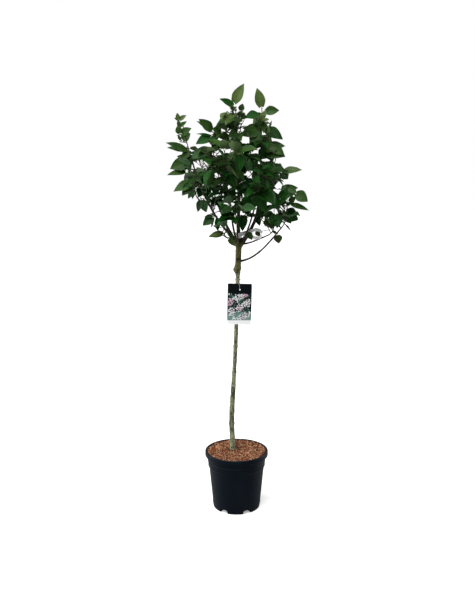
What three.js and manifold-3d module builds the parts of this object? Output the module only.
// A common lilac grafted on a straight stem and grown in a black nursery pot: pot, soil, trunk,
// the boughs of its crown, and one mass of leafy shoots on the end of each bough.
// The plant carries a picture label on a string and a white plastic band round its fork.
// Lengths are millimetres and angles are degrees. +Z is up, +X is to the viewer's right, and the
// origin is the middle of the pot's underside.

import * as THREE from "three";
import { mergeVertices } from "three/addons/utils/BufferGeometryUtils.js";
import Module from "manifold-3d";

const wasm = await Module();
wasm.setup();

// Clearance between two pieces that touch on the real plant.
const GAP = 0.3;

// Corners closer than this to a straight edge or flat face are left out of a fused mass.
const SIMPLER = 0.15;

const POT = {
  height: 250,
  rimRadius: 135,
  rimDepth: 21,
  rimWidth: 10.5,
  rimRound: 2.5,
  neckRadius: 124,
  shoulder: 180,
  shoulderRadius: 118,
  collar: 187,
  collarRadius: 122.5,
  lipRadius: 123,
  footRadius: 100,
  footRound: 2.5,
  wall: 2.5,
  floor: 19,
  sides: 36,
  channels: 6,
  channelWidth: 36,
  channelHeight: 16,
  channelStart: 34,
  channelTurn: 57,
};

const SOIL = { edgeHeight: 243, edgeRadius: 122.4, middleHeight: 246, middleRadius: 60 };

const TRUNK = {
  foot: SOIL.middleHeight + GAP,
  top: 1158,
  // Points that the middle of the stem passes through: it swings left above the pot, then leans right.
  route: [
    [-16.5, 20, SOIL.middleHeight + GAP],
    [-20.5, 17, 395],
    [-11, 14, 570],
    [-2.5, 10, 745],
    [4, 6, 965],
    [10, 3, 1158],
  ],
  footRadius: 11.2,
  waistRadius: 8.4,
  waistHeight: 640,
  taperFrom: 396.3,
  flare: 3,
  flareHeight: 16,
  scionRadius: 12,
  graftHeight: 1027,
  graftBlend: 8,
  graftSwell: 5.5,
  graftSpan: 15,
  headHeight: 1140,
  headSwell: 4.6,
  headSpan: 15,
  nodeSpacing: 57,
  nodeSwell: 1.1,
  nodeSpan: 5,
  steps: 38,
  sides: 8,
};

// Each bough: where it leaves the trunk or an older bough, how steeply, where its tip is, how
// steeply it ends, and its radius at each end. A height picks a place on the trunk; a share of
// its length picks one on the older bough.
const BOUGH_TAPER = 0.8;
const BOUGH_STEPS = 6;
const BOUGH_SIDES = 6;
const BOUGHS = [
  { name: "centre", height: 1158.4, rise: 88, tip: [5, 5, 1506], tipRise: 88, radii: [7, 3.4] },
  { name: "left", height: 1138, rise: 40, tip: [-181, -6, 1478], tipRise: 74, radii: [5.6, 3] },
  { name: "right", height: 1142, rise: 36, tip: [99, 6, 1506], tipRise: 88, radii: [5.8, 3.2] },
  { name: "low_right", height: 1064, rise: 4, tip: [184, -30, 1206], tipRise: 50, radii: [4.3, 2.8] },
  { name: "cross_right", height: 1134, rise: -2, tip: [132, 30, 1170], tipRise: 22, radii: [3.6, 2.6] },
  { name: "centre_left", height: 1138, rise: 34, tip: [-70, 6, 1398], tipRise: 80, radii: [5, 3] },
  { name: "low_left", height: 1120, rise: 46, tip: [-80, -26, 1244], tipRise: 50, radii: [4.2, 2.8] },
  { name: "low_front", height: 1106, rise: 40, tip: [2, -66, 1214], tipRise: 60, radii: [4.2, 2.8] },
  { name: "front", height: 1126, rise: 48, tip: [-36, -78, 1364], tipRise: 70, radii: [4.8, 2.8] },
  { name: "front_right", height: 1118, rise: 46, tip: [80, -71, 1310], tipRise: 66, radii: [4.6, 2.8] },
  { name: "back_left", height: 1132, rise: 44, tip: [-88, 92, 1318], tipRise: 64, radii: [4.8, 2.8] },
  { name: "back", height: 1124, rise: 52, tip: [14, 104, 1336], tipRise: 70, radii: [4.8, 2.8] },
  { name: "back_right", height: 1112, rise: 40, tip: [117, 95, 1314], tipRise: 62, radii: [4.6, 2.8] },
  {
    name: "right_side", from: "right", share: 0.5,
    rise: 40, tip: [140, -8, 1352], tipRise: 66, radii: [3.4, 2.6],
  },
  {
    name: "left_side", from: "left", share: 0.5,
    rise: 30, tip: [-157, -61, 1326], tipRise: 50, radii: [3.2, 2.6],
  },
  { name: "spur", height: 1134, rise: 30, tip: [-34, -20, 1162], tipRise: 10, radii: [3, 2.4] },
];

// Each mass of foliage grows on the tip of the bough of its name. Its leading shoot ends at
// `lead`, its side shoots are about `spread` long, `turn` is the way the first leaf pair points,
// `size` is that of its leaves, and `young` is how much smaller they get at the shoots' ends.
const MASSES = [
  {
    name: "centre", lead: [-5, 2, 1675], shoots: 7, spread: 110, turn: 50,
    size: 1, young: 0, seed: 280,
  },
  {
    name: "left", lead: [-218, -4, 1638], shoots: 5, spread: 75, turn: 120,
    size: 1, young: 0.5, seed: 670,
  },
  {
    name: "right", lead: [101, 2, 1672], shoots: 7, spread: 95, turn: 110,
    size: 1, young: 0, seed: 347,
  },
  {
    name: "low_right", lead: [204, -34, 1335], shoots: 6, spread: 85, turn: 0,
    size: 1, young: 0.1, seed: 379,
  },
  {
    name: "cross_right", lead: [157, 62, 1286], shoots: 5, spread: 90, turn: 10,
    size: 0.9, young: 0.2, seed: 778,
  },
  {
    name: "centre_left", lead: [-105, 6, 1565], shoots: 7, spread: 100, turn: 30,
    size: 1, young: 0, seed: 918,
  },
  {
    name: "low_left", lead: [-106, -60, 1326], shoots: 6, spread: 85, turn: 130,
    size: 1, young: 0.1, seed: 665,
  },
  {
    name: "low_front", lead: [13, -126, 1316], shoots: 6, spread: 80, turn: 100,
    size: 1, young: 0, seed: 21,
  },
  {
    name: "front", lead: [-45, -150, 1499], shoots: 6, spread: 125, turn: 30,
    size: 1, young: 0, seed: 993,
  },
  {
    name: "front_right", lead: [96, -140, 1420], shoots: 6, spread: 120, turn: 30,
    size: 1, young: 0, seed: 250,
  },
  {
    name: "back_left", lead: [-163, 150, 1492], shoots: 6, spread: 125, turn: 0,
    size: 1, young: 0, seed: 989,
  },
  {
    name: "back", lead: [24, 186, 1522], shoots: 6, spread: 130, turn: 150,
    size: 1, young: 0, seed: 663,
  },
  {
    name: "back_right", lead: [151, 142, 1435], shoots: 6, spread: 110, turn: 160,
    size: 1, young: 0, seed: 916,
  },
  {
    name: "right_side", lead: [142, -14, 1481], shoots: 6, spread: 85, turn: 20,
    size: 1, young: 0, seed: 951,
  },
  {
    name: "left_side", lead: [-157, -78, 1438], shoots: 6, spread: 80, turn: 0,
    size: 1, young: 0.1, seed: 682,
  },
  {
    name: "spur", lead: [-85, -34, 1212], shoots: 2, spread: 45, turn: 60,
    size: 0.8, young: 0, seed: 16,
  },
];

// How every shoot grows. A pair of numbers is a value at each end of a range, or at a shoot's
// foot and tip.
const SHOOT = {
  leadRadius: 2.4,
  leadLift: 0.4,
  sideRadius: 2,
  tipRadius: 1.5,
  places: [0.1, 0.8],
  turnStep: 137.5,
  turnVary: 30,
  rise: [12, 48],
  liftAtFoot: 8,
  liftAtTip: 22,
  steepest: 85,
  lengthAlong: [1.1, 0.6],
  lengthVary: [0.85, 1.15],
  leastLength: 34,
  shorten: 0.84,
  tries: 6,
  internode: 40,
  bud: 4,
  segment: 60,
};

// How every leaf sits on its shoot and is shaped. Leaves near a shoot's tip stand close to it and
// look up; older ones stand out and hang.
const LEAF = {
  length: 76,
  width: 54,
  stalk: 17,
  stalkRadius: 1,
  stalkTop: 0.3,
  thickness: 1.3,
  spread: [30, 70],
  spreadVary: 24,
  droop: [2, 62],
  droopVary: 46,
  rollVary: 80,
  hangOut: 0.25,
  faceIn: 0.45,
  swingVary: 36,
  growth: [0.88, 1.14],
  smallerAtTip: 0.1,
  youngFrom: [0.35, 0.75],
  fold: 0.16,
  arch: 0.16,
  baseWidth: 0.25,
  widest: 0.27,
  pointed: 0.9,
  slimmer: 0.2,
  middle: 0.42,
  upper: 0.62,
  tries: 12,
  crowding: 0.045,
};

// The room each leaf and shoot keeps: to the next mass's space, and to the limbs.
const ROOM = { border: 1.2, shootBorder: 12, limb: 5, limbStep: 7 };

const LABEL = {
  width: 100,
  height: 171,
  thickness: 0.8,
  top: 972,
  across: 14,
  tilt: 1.3,
  standOff: 3.2,
  holeDrop: 25,
  holeRadius: 3.2,
  stringRadius: 0.8,
  stringRise: 16,
  stringSlack: 0.8,
  stringSteps: 26,
  stringSides: 4,
};

const BAND = {
  width: 12,
  thickness: 0.7,
  height: 1166,
  wrapRadius: 11.5,
  wrapGrowth: 2,
  wrapClimb: 5,
  wrapTurn: [-200, 250],
  wrapStep: 30,
  curlMiddle: [84, -20, 1178],
  curlRadius: 20,
  curlTurn: [118, -205],
  curlStep: 19,
  curlLean: 48,
  curlShift: 4,
  curlDrift: 0.035,
};

const COLOURS = {
  pot: 0x14191c,
  soil: 0x80563d,
  bark: 0x6d6a50,
  twigBark: 0x4a4034,
  leaf: 0x2f4d22,
  label: 0x17262a,
  string: 0xb9bca8,
  band: 0xe9ebe8,
};

const DEGREE = Math.PI / 180;
const UP = new THREE.Vector3(0, 0, 1);

const vector = (point) => new THREE.Vector3(...point);

const mix = (a, b, share) => a + (b - a) * share;

const bell = (distance, span) => Math.exp(-((distance / span) ** 2));

// 0 below `low`, 1 above `high`, and smooth between them.
function ramp(value, low, high) {
  const share = Math.min(1, Math.max(0, (value - low) / (high - low)));
  return share * share * (3 - 2 * share);
}

function heading(azimuth, rise) {
  const level = Math.cos(rise * DEGREE);
  return new THREE.Vector3(
    level * Math.cos(azimuth * DEGREE),
    level * Math.sin(azimuth * DEGREE),
    Math.sin(rise * DEGREE),
  );
}

const azimuthOf = (direction) => Math.atan2(direction.y, direction.x) / DEGREE;

// A sum of vectors, each times its number: combine(a, 1, b, 0.5, ...).
function combine(...terms) {
  const sum = new THREE.Vector3();
  for (let i = 0; i < terms.length; i += 2) sum.addScaledVector(terms[i], terms[i + 1]);
  return sum;
}

// The part of `direction` that is square to `axis`, at length 1.
const squareTo = (direction, axis) =>
  combine(direction, 1, axis, -direction.dot(axis)).normalize();

// Repeatable random numbers from 0 to 1, the same in any language.
function seededRandom(seed) {
  let state = (seed * 7919) % 2147483647;
  return () => {
    state = (state * 48271) % 2147483647;
    return state / 2147483647;
  };
}

// Solids

function solidFrom(geometry) {
  const bare = geometry.clone();
  for (const name of Object.keys(bare.attributes)) {
    if (name !== "position") bare.deleteAttribute(name);
  }
  const merged = mergeVertices(bare, 1e-4);
  return new wasm.Manifold(
    new wasm.Mesh({
      numProp: 3,
      vertProperties: new Float32Array(merged.attributes.position.array),
      triVerts: new Uint32Array(merged.index.array),
    }),
  );
}

function geometryFrom(solid) {
  const { vertProperties, triVerts } = solid.getMesh();
  const geometry = new THREE.BufferGeometry();
  geometry.setAttribute("position", new THREE.BufferAttribute(vertProperties, 3));
  geometry.setIndex(new THREE.BufferAttribute(triVerts, 1));
  geometry.computeVertexNormals();
  return geometry;
}

function geometryOf(points, faces) {
  const geometry = new THREE.BufferGeometry();
  const positions = points.flatMap((p) => [p.x, p.y, p.z]);
  geometry.setAttribute("position", new THREE.Float32BufferAttribute(positions, 3));
  geometry.setIndex(faces.flat());
  return geometry;
}

// The largest single body of a solid, without the scraps that a cut leaves beside it.
function mainBody(solid) {
  return solid.decompose().reduce((best, body) => (body.volume() > best.volume() ? body : best));
}

// Faces that join a stack of rings, each `sides` points, into one closed body.
function ringFaces(rings, sides) {
  const faces = [];
  for (let i = 0; i + 1 < rings; i++) {
    for (let k = 0; k < sides; k++) {
      const next = (k + 1) % sides;
      const [a, b] = [i * sides + k, i * sides + next];
      faces.push([a, b, b + sides], [a, b + sides, a + sides]);
    }
  }
  const last = (rings - 1) * sides;
  for (let k = 1; k + 1 < sides; k++) {
    faces.push([0, k + 1, k], [last, last + k, last + k + 1]);
  }
  return faces;
}

// The way each limb's first corner faces: to the front, a little to the right.
const RING_START = new THREE.Vector3(0.31, -0.95, 0.05);

// A tapering limb: a ring of corners at each step of its path, closed by a flat cut at each end.
function limbGeometry(path, radiusAt, steps, sides) {
  const points = [];
  let across = squareTo(RING_START, path.getTangent(0));
  for (let i = 0; i <= steps; i++) {
    const share = i / steps;
    const along = path.getTangent(share);
    across = squareTo(across, along);
    const beside = new THREE.Vector3().crossVectors(along, across);
    const radius = radiusAt(share);
    for (let k = 0; k < sides; k++) {
      const angle = (2 * Math.PI * k) / sides;
      points.push(
        combine(
          path.getPoint(share), 1,
          across, radius * Math.cos(angle),
          beside, radius * Math.sin(angle),
        ),
      );
    }
  }
  return geometryOf(points, ringFaces(steps + 1, sides));
}

// Pot and soil

const wallRadius = (height) => mix(POT.footRadius, POT.shoulderRadius, height / POT.shoulder);

// The inside of the pot's wall, from its floor up, which the compost is fitted to.
function innerProfile() {
  return [
    [wallRadius(POT.floor) - POT.wall, POT.floor],
    [POT.shoulderRadius - POT.wall, POT.shoulder],
    [POT.collarRadius - POT.wall, POT.collar],
    [POT.lipRadius, POT.height - POT.rimRound],
  ];
}

const turned = (profile) => {
  const points = profile.map(([r, z]) => new THREE.Vector2(r, z));
  return solidFrom(new THREE.LatheGeometry(points, POT.sides).rotateX(Math.PI / 2));
};

// Radial channels under the floor leave six feet at the wall and a flat disc in the middle.
function potSolid() {
  const rimFoot = POT.height - POT.rimDepth;
  let pot = turned([
    [0, 0],
    [POT.footRadius - POT.footRound, 0],
    [POT.footRadius, POT.footRound],
    [POT.shoulderRadius, POT.shoulder],
    [POT.collarRadius, POT.collar],
    [POT.neckRadius, rimFoot],
    [POT.rimRadius - POT.rimRound, rimFoot],
    [POT.rimRadius, rimFoot + POT.rimRound],
    [POT.rimRadius, POT.height - POT.rimRound],
    [POT.rimRadius - POT.rimRound, POT.height],
    [POT.rimRadius - POT.rimWidth, POT.height],
    ...innerProfile().reverse(),
    [0, POT.floor],
  ]);
  const length = POT.rimRadius - POT.channelStart;
  for (let i = 0; i < POT.channels; i++) {
    const channel = new THREE.BoxGeometry(length, POT.channelWidth, 2 * POT.channelHeight)
      .translate(POT.channelStart + length / 2, 0, 0)
      .rotateZ((POT.channelTurn + (360 * i) / POT.channels) * DEGREE);
    pot = pot.subtract(solidFrom(channel));
  }
  return pot;
}

function soilSolid() {
  const inside = innerProfile()
    .map(([r, z]) => [r - GAP, Math.max(z, POT.floor + GAP)])
    .filter(([, z]) => z < SOIL.edgeHeight);
  return turned([
    [0, POT.floor + GAP],
    ...inside,
    [SOIL.edgeRadius, SOIL.edgeHeight],
    [SOIL.middleRadius, SOIL.middleHeight],
    [0, SOIL.middleHeight],
  ]);
}

// Trunk and boughs

const trunkPath = new THREE.CatmullRomCurve3(TRUNK.route.map(vector), false, "catmullrom", 0.5);

// The share of the trunk's path at a height, found by halving, since the path only climbs.
function trunkShare(height) {
  let [low, high] = [0, 1];
  for (let i = 0; i < 40; i++) {
    const middle = (low + high) / 2;
    if (trunkPath.getPoint(middle).z < height) low = middle;
    else high = middle;
  }
  return low;
}

function trunkRadius(height) {
  const above = height - TRUNK.foot;
  const stock = mix(
    TRUNK.footRadius,
    TRUNK.waistRadius,
    ramp(height, TRUNK.taperFrom, TRUNK.waistHeight),
  );
  const { graftHeight, graftBlend } = TRUNK;
  const scion = ramp(height, graftHeight - graftBlend, graftHeight + graftBlend);
  const nearestNode = TRUNK.nodeSpacing * Math.round(above / TRUNK.nodeSpacing);
  return (
    mix(stock, TRUNK.scionRadius, scion) +
    TRUNK.flare * Math.exp(-above / TRUNK.flareHeight) +
    TRUNK.graftSwell * bell(height - graftHeight, TRUNK.graftSpan) +
    TRUNK.headSwell * bell(height - TRUNK.headHeight, TRUNK.headSpan) +
    TRUNK.nodeSwell * bell(above - nearestNode, TRUNK.nodeSpan) * (1 - scion)
  );
}

// The trunk, cut level at both ends, or a version that is wider by `extra` to cut its neighbours.
function trunkGeometry(extra) {
  const radiusAt = (share) => trunkRadius(trunkPath.getPoint(share).z) + extra;
  const geometry = limbGeometry(trunkPath, radiusAt, TRUNK.steps, TRUNK.sides);
  const corners = geometry.attributes.position;
  for (let k = 0; k < TRUNK.sides; k++) {
    corners.setZ(k, TRUNK.foot);
    corners.setZ(corners.count - 1 - k, TRUNK.top + extra);
  }
  return geometry;
}

// Every bough's path, as an S-shaped curve from its foot to its tip.
function boughPaths() {
  const paths = new Map();
  for (const bough of BOUGHS) {
    const tip = vector(bough.tip);
    const foot = bough.from
      ? paths.get(bough.from).getPoint(bough.share)
      : trunkPath.getPoint(trunkShare(bough.height));
    if (bough.height > TRUNK.top) foot.z = bough.height;
    const outward = tip.clone().sub(foot);
    const reach = outward.length() / 3;
    const azimuth = azimuthOf(outward);
    paths.set(
      bough.name,
      new THREE.CubicBezierCurve3(
        foot,
        combine(foot, 1, heading(azimuth, bough.rise), reach),
        combine(tip, 1, heading(azimuth, bough.tipRise), -reach),
        tip,
      ),
    );
  }
  return paths;
}

const PATHS = boughPaths();

const boughRadius = (bough, share) => mix(bough.radii[0], bough.radii[1], share ** BOUGH_TAPER);

function boughGeometry(bough, extra) {
  const radiusAt = (share) => boughRadius(bough, share) + extra;
  return limbGeometry(PATHS.get(bough.name), radiusAt, BOUGH_STEPS, BOUGH_SIDES);
}

// Each bough is cut to butt on the trunk and on the boughs before it.
function boughSolids() {
  const made = new Map();
  const taken = [solidFrom(trunkGeometry(GAP))];
  for (const bough of BOUGHS) {
    let solid = solidFrom(boughGeometry(bough, 0));
    for (const other of taken) solid = solid.subtract(other);
    made.set(bough.name, mainBody(solid));
    taken.push(solidFrom(boughGeometry(bough, GAP)));
  }
  return made;
}

// Places along every limb with its radius there, so that leaves can keep off them.
function limbBeads() {
  const beads = [];
  const string = (path, radiusAt, length) => {
    const steps = Math.ceil(length / ROOM.limbStep);
    for (let i = 0; i <= steps; i++) {
      const share = i / steps;
      beads.push({ middle: path.getPoint(share), radius: radiusAt(share) });
    }
  };
  const crownFoot = trunkShare(TRUNK.graftHeight);
  const head = { getPoint: (share) => trunkPath.getPoint(mix(crownFoot, 1, share)) };
  string(head, (share) => trunkRadius(head.getPoint(share).z), TRUNK.top - TRUNK.graftHeight);
  for (const bough of BOUGHS) {
    const path = PATHS.get(bough.name);
    string(path, (share) => boughRadius(bough, share), path.getLength());
  }
  return beads;
}

const BEADS = limbBeads();

function clearOfLimbs(point, room) {
  return BEADS.every(({ middle, radius }) => middle.distanceTo(point) > radius + room);
}

// Foliage

// The middle of each mass's own space: every point of the crown belongs to the nearest of them.
const MIDDLES = MASSES.map((mass) => combine(vector(mass.lead), 0.5, tipOf(mass), 0.5));

function tipOf(mass) {
  return PATHS.get(mass.name).getPoint(1);
}

// How far a point is inside a mass's own space, and less than 0 outside it.
function depthInSpace(index, point) {
  const own = MIDDLES[index];
  const others = MIDDLES.filter((_, i) => i !== index);
  return Math.min(
    ...others.map((other) => {
      const apart = other.clone().sub(own);
      const halfway = combine(own, 0.5, other, 0.5);
      return halfway.sub(point).dot(apart) / apart.length();
    }),
  );
}

// A shoot is a curve with a radius at each end. `facing` is a level direction square to it, from
// which its leaf pairs are turned.
function makeShoot(foot, first, end, last, radius) {
  const reach = end.distanceTo(foot) / 3;
  const path = new THREE.CubicBezierCurve3(
    foot,
    combine(foot, 1, first, reach),
    combine(end, 1, last, -reach),
    end,
  );
  const azimuth = azimuthOf(end.clone().sub(foot));
  return { path, radius, length: path.getLength(), facing: heading(azimuth + 90, 0) };
}

// A side shoot is tested at these many steps of its length, past the first few by its parent.
const SHOOT_CHECKS = 12;
const SHOOT_UNCHECKED = 3;

function shootFits(index, shoot) {
  for (let i = SHOOT_UNCHECKED; i <= SHOOT_CHECKS; i++) {
    const point = shoot.path.getPoint(i / SHOOT_CHECKS);
    if (depthInSpace(index, point) < ROOM.shootBorder) return false;
    if (!clearOfLimbs(point, ROOM.limb)) return false;
  }
  return true;
}

// The shoots of one mass: a leading shoot from the bough's tip, and side shoots round it.
function growShoots(mass, index, random) {
  const boughEnd = PATHS.get(mass.name).getTangent(1);
  const foot = combine(tipOf(mass), 1, boughEnd, GAP);
  const lead = vector(mass.lead);
  const onward = lead.clone().sub(foot).normalize();
  const leadEnd = combine(onward, 1 - SHOOT.leadLift, UP, SHOOT.leadLift).normalize();
  const leader = makeShoot(foot, boughEnd, lead, leadEnd, SHOOT.leadRadius);
  const shoots = [leader];
  for (let i = 0; i < mass.shoots; i++) {
    const share = mix(...SHOOT.places, i / mass.shoots);
    const start = leader.path.getPoint(share);
    const azimuth = mass.turn + 90 + SHOOT.turnStep * i + SHOOT.turnVary * (random() - 0.5);
    const rise = mix(...SHOOT.rise, random());
    let length = mass.spread * mix(...SHOOT.lengthAlong, share) * mix(...SHOOT.lengthVary, random());
    for (let k = 0; k < SHOOT.tries && length > SHOOT.leastLength; k++) {
      const end = combine(start, 1, heading(azimuth, rise), length);
      const first = heading(azimuth, rise + SHOOT.liftAtFoot);
      const last = heading(azimuth, Math.min(SHOOT.steepest, rise + SHOOT.liftAtTip));
      const shoot = makeShoot(start, first, end, last, SHOOT.sideRadius);
      if (shootFits(index, shoot)) {
        shoots.push(shoot);
        break;
      }
      length *= SHOOT.shorten;
    }
  }
  return shoots;
}

// How wide the blade is at a share of its length, as a share of its full width.
function bladeWidth(share) {
  const filled = LEAF.baseWidth + share / LEAF.widest;
  if (share <= LEAF.widest) return Math.sin((Math.PI / 2) * Math.min(1, filled));
  const past = (share - LEAF.widest) / (1 - LEAF.widest);
  return Math.cos((Math.PI / 2) * past) ** LEAF.pointed * (1 - LEAF.slimmer * past);
}

// A point of a leaf's blade, by shares of its length and of its half width.
function bladePoint(leaf, share, across) {
  const half = (leaf.width / 2) * bladeWidth(share) * across;
  const lift = LEAF.fold * leaf.width * Math.abs(across) * bladeWidth(share);
  const drop = LEAF.arch * leaf.length * share * share;
  return combine(
    leaf.heel, 1,
    leaf.along, leaf.length * share,
    leaf.side, half,
    leaf.up, lift - drop,
  );
}

// The points that stand for a leaf when its room is tested, and the lines between them.
const TEST_SHARES = [0, 0.25, 0.5, 0.75, 1];
const TEST_ACROSS = [-1, -0.5, 0, 0.5, 1];
const TEST_MIDDLE = 12;

function leafPoints(leaf) {
  return TEST_SHARES.flatMap((share) => TEST_ACROSS.map((across) => bladePoint(leaf, share, across)));
}

function leafLines(leaf) {
  const lines = [[leaf.root, leaf.heel]];
  const rows = TEST_SHARES.length;
  const columns = TEST_ACROSS.length;
  for (let i = 0; i < rows; i++) {
    for (let k = 0; k + 1 < columns; k++) {
      lines.push([leaf.points[i * columns + k], leaf.points[i * columns + k + 1]]);
    }
  }
  for (let i = 0; i + 1 < rows; i++) {
    for (let k = 0; k < columns; k++) {
      lines.push([leaf.points[i * columns + k], leaf.points[(i + 1) * columns + k]]);
    }
  }
  return lines;
}

// Whether a line passes through a leaf, with the blade taken as flat.
function lineCrossesLeaf([from, to], leaf) {
  const middle = leaf.points[TEST_MIDDLE];
  const a = from.clone().sub(middle).dot(leaf.up);
  const b = to.clone().sub(middle).dot(leaf.up);
  if (a * b > 0) return false;
  const spot = combine(from, b / (b - a), to, -a / (b - a)).sub(leaf.heel);
  const share = spot.dot(leaf.along) / leaf.length;
  if (share < -0.03 || share > 1.03) return false;
  const half = (leaf.width / 2) * bladeWidth(Math.min(1, Math.max(0, share)));
  return Math.abs(spot.dot(leaf.side)) < half + 1;
}

// Leaves whose middles are further apart than this share of both lengths can't touch.
const FAR_APART = 0.62;

function leavesCross(one, other) {
  const apart = one.points[TEST_MIDDLE].distanceTo(other.points[TEST_MIDDLE]);
  if (apart > FAR_APART * (one.length + other.length)) return false;
  return (
    one.lines.some((line) => lineCrossesLeaf(line, other)) ||
    other.lines.some((line) => lineCrossesLeaf(line, one))
  );
}

// One leaf of a pair. `age` is 0 at a shoot's tip and 1 at its foot: older leaves stand out
// wider and hang lower.
function placeLeaf(root, along, out, age, size, random) {
  const spread = mix(...LEAF.spread, Math.min(1, 1.5 * age)) + LEAF.spreadVary * (random() - 0.5);
  const droop = mix(...LEAF.droop, age) + LEAF.droopVary * (random() - 0.5);
  const roll = LEAF.rollVary * (random() - 0.5);
  const swing = LEAF.swingVary * (random() - 0.5);
  const growth = size * mix(...LEAF.growth, random());
  const sideways = new THREE.Vector3().crossVectors(along, out);
  const aim = combine(out, Math.cos(swing * DEGREE), sideways, Math.sin(swing * DEGREE));
  const stalk = combine(along, Math.cos(spread * DEGREE), aim, Math.sin(spread * DEGREE)).normalize();
  const down = squareTo(combine(UP, -1, aim, LEAF.hangOut), stalk);
  const blade = combine(stalk, Math.cos(droop * DEGREE), down, Math.sin(droop * DEGREE)).normalize();
  const face = squareTo(combine(UP, 1, aim, -LEAF.faceIn), blade);
  const beside = new THREE.Vector3().crossVectors(face, blade);
  const up = combine(face, Math.cos(roll * DEGREE), beside, Math.sin(roll * DEGREE));
  const leaf = {
    root,
    heel: combine(root, 1, stalk, LEAF.stalk * growth),
    along: blade,
    side: new THREE.Vector3().crossVectors(up, blade),
    up,
    length: LEAF.length * growth,
    width: LEAF.width * growth,
  };
  leaf.points = leafPoints(leaf);
  leaf.lines = leafLines(leaf);
  return leaf;
}

function leafFits(leaf, index, leaves, twigLines) {
  return (
    depthInSpace(index, leaf.heel) > ROOM.border &&
    leaf.points.every((point) => depthInSpace(index, point) > ROOM.border) &&
    leaf.points.every((point) => clearOfLimbs(point, ROOM.limb)) &&
    !leaves.some((other) => leavesCross(leaf, other)) &&
    !twigLines.some((line) => lineCrossesLeaf(line, leaf))
  );
}

// The shoots and leaves of one mass: leaves in opposite pairs, each pair square to the last.
function growMass(mass, index) {
  const random = seededRandom(mass.seed);
  const shoots = growShoots(mass, index, random);
  const twigLines = shoots.flatMap(({ path }) => {
    const places = path.getPoints(8);
    return places.slice(1).map((place, i) => [places[i], place]);
  });
  const leaves = [];
  shoots.forEach((shoot, order) => {
    const pairs = Math.max(2, Math.round(shoot.length / SHOOT.internode));
    for (let k = 1; k <= pairs; k++) {
      const share = k / pairs - SHOOT.bud / shoot.length;
      const root = shoot.path.getPoint(share);
      const along = shoot.path.getTangent(share);
      const across = squareTo(shoot.facing, along);
      const beside = new THREE.Vector3().crossVectors(along, across);
      const turn = (mass.turn * (order === 0 ? 1 : 2) + 90 * (pairs - k) + 90) * DEGREE;
      const young = mass.young * ramp(share, ...LEAF.youngFrom);
      const size = mass.size * (1 - young - LEAF.smallerAtTip * share);
      for (const way of [1, -1]) {
        const out = combine(across, way * Math.cos(turn), beside, way * Math.sin(turn));
        for (let attempt = 0; attempt < LEAF.tries; attempt++) {
          const crowded = 1 - LEAF.crowding * attempt;
          const leaf = placeLeaf(root, along, out, 1 - share, size * crowded, random);
          if (leafFits(leaf, index, leaves, twigLines)) {
            leaves.push(leaf);
            break;
          }
        }
      }
    }
  });
  return { shoots, leaves };
}

// One leaf as a closed body: a three-sided stalk that opens into a folded, pointed blade.
function leafGeometry(leaf) {
  const stalk = leaf.heel.clone().sub(leaf.root).normalize();
  const left = squareTo(leaf.side, stalk);
  const over = new THREE.Vector3().crossVectors(stalk, left);
  const ring = (middle) => [
    combine(middle, 1, left, LEAF.stalkRadius, over, LEAF.stalkTop),
    combine(middle, 1, left, -LEAF.stalkRadius, over, LEAF.stalkTop),
    combine(middle, 1, over, -LEAF.stalkRadius),
  ];
  const ridge = bladePoint(leaf, LEAF.middle, 0);
  const points = [
    ...ring(leaf.root),
    ...ring(leaf.heel),
    bladePoint(leaf, LEAF.widest, 1),
    bladePoint(leaf, LEAF.widest, -1),
    bladePoint(leaf, LEAF.upper, 1),
    bladePoint(leaf, LEAF.upper, -1),
    bladePoint(leaf, 1, 0),
    ridge,
    combine(ridge, 1, leaf.up, -LEAF.thickness),
  ];
  const [rootLeft, rootRight, rootKeel, heelLeft, heelRight, heelKeel] = [0, 1, 2, 3, 4, 5];
  const [left1, right1, left2, right2, tip, top, bottom] = [6, 7, 8, 9, 10, 11, 12];
  const rim = [heelRight, right1, right2, tip, left2, left1, heelLeft];
  const faces = [
    [rootRight, heelRight, heelLeft],
    [rootRight, heelLeft, rootLeft],
    [rootLeft, heelLeft, heelKeel],
    [rootLeft, heelKeel, rootKeel],
    [heelRight, rootRight, rootKeel],
    [heelRight, rootKeel, heelKeel],
    [rootRight, rootLeft, rootKeel],
    [heelLeft, heelRight, top],
    [heelRight, heelKeel, bottom],
    [heelKeel, heelLeft, bottom],
  ];
  for (let i = 0; i + 1 < rim.length; i++) {
    faces.push([rim[i], rim[i + 1], top], [rim[i + 1], rim[i], bottom]);
  }
  return geometryOf(points, faces);
}

// Each mass fused into one body: three-sided twigs with the leaves' stalks sunk into them.
function massSolid({ shoots, leaves }) {
  let solid = null;
  for (const shoot of shoots) {
    const radiusAt = (share) => mix(shoot.radius, SHOOT.tipRadius, share);
    const steps = Math.max(2, Math.round(shoot.length / SHOOT.segment));
    const twig = solidFrom(limbGeometry(shoot.path, radiusAt, steps, 3));
    solid = solid ? solid.add(twig) : twig;
  }
  for (const leaf of leaves) solid = solid.add(solidFrom(leafGeometry(leaf)));
  return mainBody(solid).asOriginal().simplify(SIMPLER);
}

// Label and band

// A thin strip swept along points, each with the direction of its width.
function stripGeometry(stations, width, thickness) {
  const points = [];
  stations.forEach(({ point, wide }, i) => {
    const before = stations[Math.max(0, i - 1)].point;
    const after = stations[Math.min(stations.length - 1, i + 1)].point;
    const along = after.clone().sub(before).normalize();
    const across = squareTo(wide, along);
    const thick = new THREE.Vector3().crossVectors(along, across);
    for (const [a, b] of [[1, 1], [-1, 1], [-1, -1], [1, -1]]) {
      points.push(combine(point, 1, across, (a * width) / 2, thick, (b * thickness) / 2));
    }
  });
  return geometryOf(points, ringFaces(stations.length, 4));
}

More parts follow.
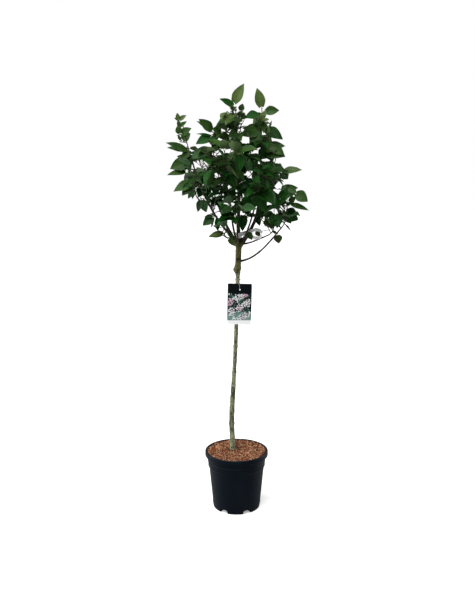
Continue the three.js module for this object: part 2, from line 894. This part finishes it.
// The band winds once round the leader's foot, runs out to the right and ends in an open curl.
function bandGeometry() {
  const leader = PATHS.get("centre").getPoint(0.1);
  const stations = [];
  const [wrapFrom, wrapTo] = BAND.wrapTurn;
  for (let angle = wrapFrom; angle <= wrapTo; angle += BAND.wrapStep) {
    const wound = (angle - wrapFrom) / (wrapTo - wrapFrom);
    const radius = BAND.wrapRadius + BAND.wrapGrowth * wound;
    const point = new THREE.Vector3(
      leader.x + radius * Math.cos(angle * DEGREE),
      leader.y + radius * Math.sin(angle * DEGREE),
      BAND.height + BAND.wrapClimb * wound,
    );
    stations.push({ point, wide: UP });
  }
  const [curlFrom, curlTo] = BAND.curlTurn;
  const lean = heading(-90, BAND.curlLean);
  for (let angle = curlFrom; angle >= curlTo; angle -= BAND.curlStep) {
    const point = combine(
      vector(BAND.curlMiddle), 1,
      new THREE.Vector3(1, 0, 0), BAND.curlRadius * Math.cos(angle * DEGREE),
      squareTo(UP, lean), BAND.curlRadius * Math.sin(angle * DEGREE),
      lean, BAND.curlShift - (curlFrom - angle) * BAND.curlDrift,
    );
    stations.push({ point, wide: lean });
  }
  return stripGeometry(stations, BAND.width, BAND.thickness);
}

// Where the label hangs: its back stands off the front of the trunk.
const labelFace = (() => {
  const place = trunkPath.getPoint(trunkShare(LABEL.top));
  const front = place.y - trunkRadius(LABEL.top) - LABEL.standOff;
  return { x: LABEL.across, y: front, z: LABEL.top };
})();

function labelGeometry() {
  const half = LABEL.width / 2;
  const outline = new THREE.Shape();
  outline.moveTo(-half, -LABEL.height);
  outline.lineTo(half, -LABEL.height);
  outline.lineTo(half, 0);
  outline.lineTo(-half, 0);
  outline.closePath();
  const hole = new THREE.Path();
  hole.absarc(0, -LABEL.holeDrop, LABEL.holeRadius, 0, 2 * Math.PI, true);
  outline.holes.push(hole);
  return new THREE.ExtrudeGeometry(outline, {
    depth: LABEL.thickness,
    bevelEnabled: false,
    curveSegments: 10,
  })
    .rotateX(Math.PI / 2)
    .rotateY(LABEL.tilt * DEGREE)
    .translate(labelFace.x, labelFace.y, labelFace.z);
}

// The string passes through the label's hole and round the trunk above the label.
function stringGeometry() {
  const ring = trunkPath.getPoint(trunkShare(LABEL.top + LABEL.stringRise));
  const clear = trunkRadius(LABEL.top + LABEL.stringRise) + LABEL.stringRadius + 2 * GAP;
  const tilt = LABEL.tilt * DEGREE;
  const hole = new THREE.Vector3(
    labelFace.x - LABEL.holeDrop * Math.sin(tilt),
    labelFace.y,
    labelFace.z - LABEL.holeDrop * Math.cos(tilt),
  );
  const front = labelFace.y - LABEL.thickness - LABEL.stringRadius - GAP;
  const back = labelFace.y + LABEL.stringRadius + GAP;
  const route = [
    [hole.x, hole.y - LABEL.thickness / 2, hole.z],
    [hole.x - 0.6, front - 0.6, hole.z + 4],
    [hole.x - 2, front - 0.4, hole.z + 20],
    [ring.x - 6, ring.y - clear * 0.9, ring.z - 2],
    [ring.x - clear - LABEL.stringSlack, ring.y, ring.z],
    [ring.x, ring.y + clear + LABEL.stringSlack, ring.z + 3],
    [ring.x + clear + LABEL.stringSlack, ring.y, ring.z],
    [ring.x + 6, ring.y - clear * 0.9, ring.z - 5],
    [hole.x + 2, back + 0.5, hole.z + 20],
    [hole.x + 0.6, back + 0.3, hole.z + 5],
  ];
  const path = new THREE.CatmullRomCurve3(route.map(vector), true, "centripetal");
  const steps = LABEL.stringSteps;
  const sides = LABEL.stringSides;
  const points = [];
  const frames = path.computeFrenetFrames(steps, true);
  for (let i = 0; i < steps; i++) {
    const middle = path.getPointAt(i / steps);
    for (let k = 0; k < sides; k++) {
      const angle = (2 * Math.PI * k) / sides;
      points.push(
        combine(
          middle, 1,
          frames.normals[i], LABEL.stringRadius * Math.cos(angle),
          frames.binormals[i], LABEL.stringRadius * Math.sin(angle),
        ),
      );
    }
  }
  const faces = [];
  for (let i = 0; i < steps; i++) {
    for (let k = 0; k < sides; k++) {
      const [a, b] = [i * sides + k, i * sides + ((k + 1) % sides)];
      const [c, d] = [a, b].map((n) => (n + sides) % (steps * sides));
      faces.push([a, b, d], [a, d, c]);
    }
  }
  return geometryOf(points, faces);
}

// The plant

const finish = {
  pot: { color: COLOURS.pot, roughness: 0.42, metalness: 0 },
  soil: { color: COLOURS.soil, roughness: 0.95, metalness: 0 },
  bark: { color: COLOURS.bark, roughness: 0.85, metalness: 0 },
  twigBark: { color: COLOURS.twigBark, roughness: 0.8, metalness: 0 },
  leaf: { color: COLOURS.leaf, roughness: 0.5, metalness: 0 },
  label: { color: COLOURS.label, roughness: 0.35, metalness: 0 },
  string: { color: COLOURS.string, roughness: 0.6, metalness: 0 },
  band: { color: COLOURS.band, roughness: 0.4, metalness: 0 },
};

const plant = new THREE.Group();

function addPiece(name, geometry, look) {
  const piece = new THREE.Mesh(geometry, new THREE.MeshStandardMaterial(finish[look]));
  piece.name = name;
  plant.add(piece);
}

addPiece("pot", geometryFrom(potSolid()), "pot");
addPiece("soil", geometryFrom(soilSolid()), "soil");
addPiece("trunk", trunkGeometry(0), "bark");
for (const [name, solid] of boughSolids()) {
  addPiece(`bough_${name}`, geometryFrom(solid), "twigBark");
}
MASSES.forEach((mass, index) => {
  addPiece(`leaves_${mass.name}`, geometryFrom(massSolid(growMass(mass, index))), "leaf");
});
addPiece("label", labelGeometry(), "label");
addPiece("label_string", stringGeometry(), "string");
addPiece("white_band", bandGeometry(), "band");

export default plant;
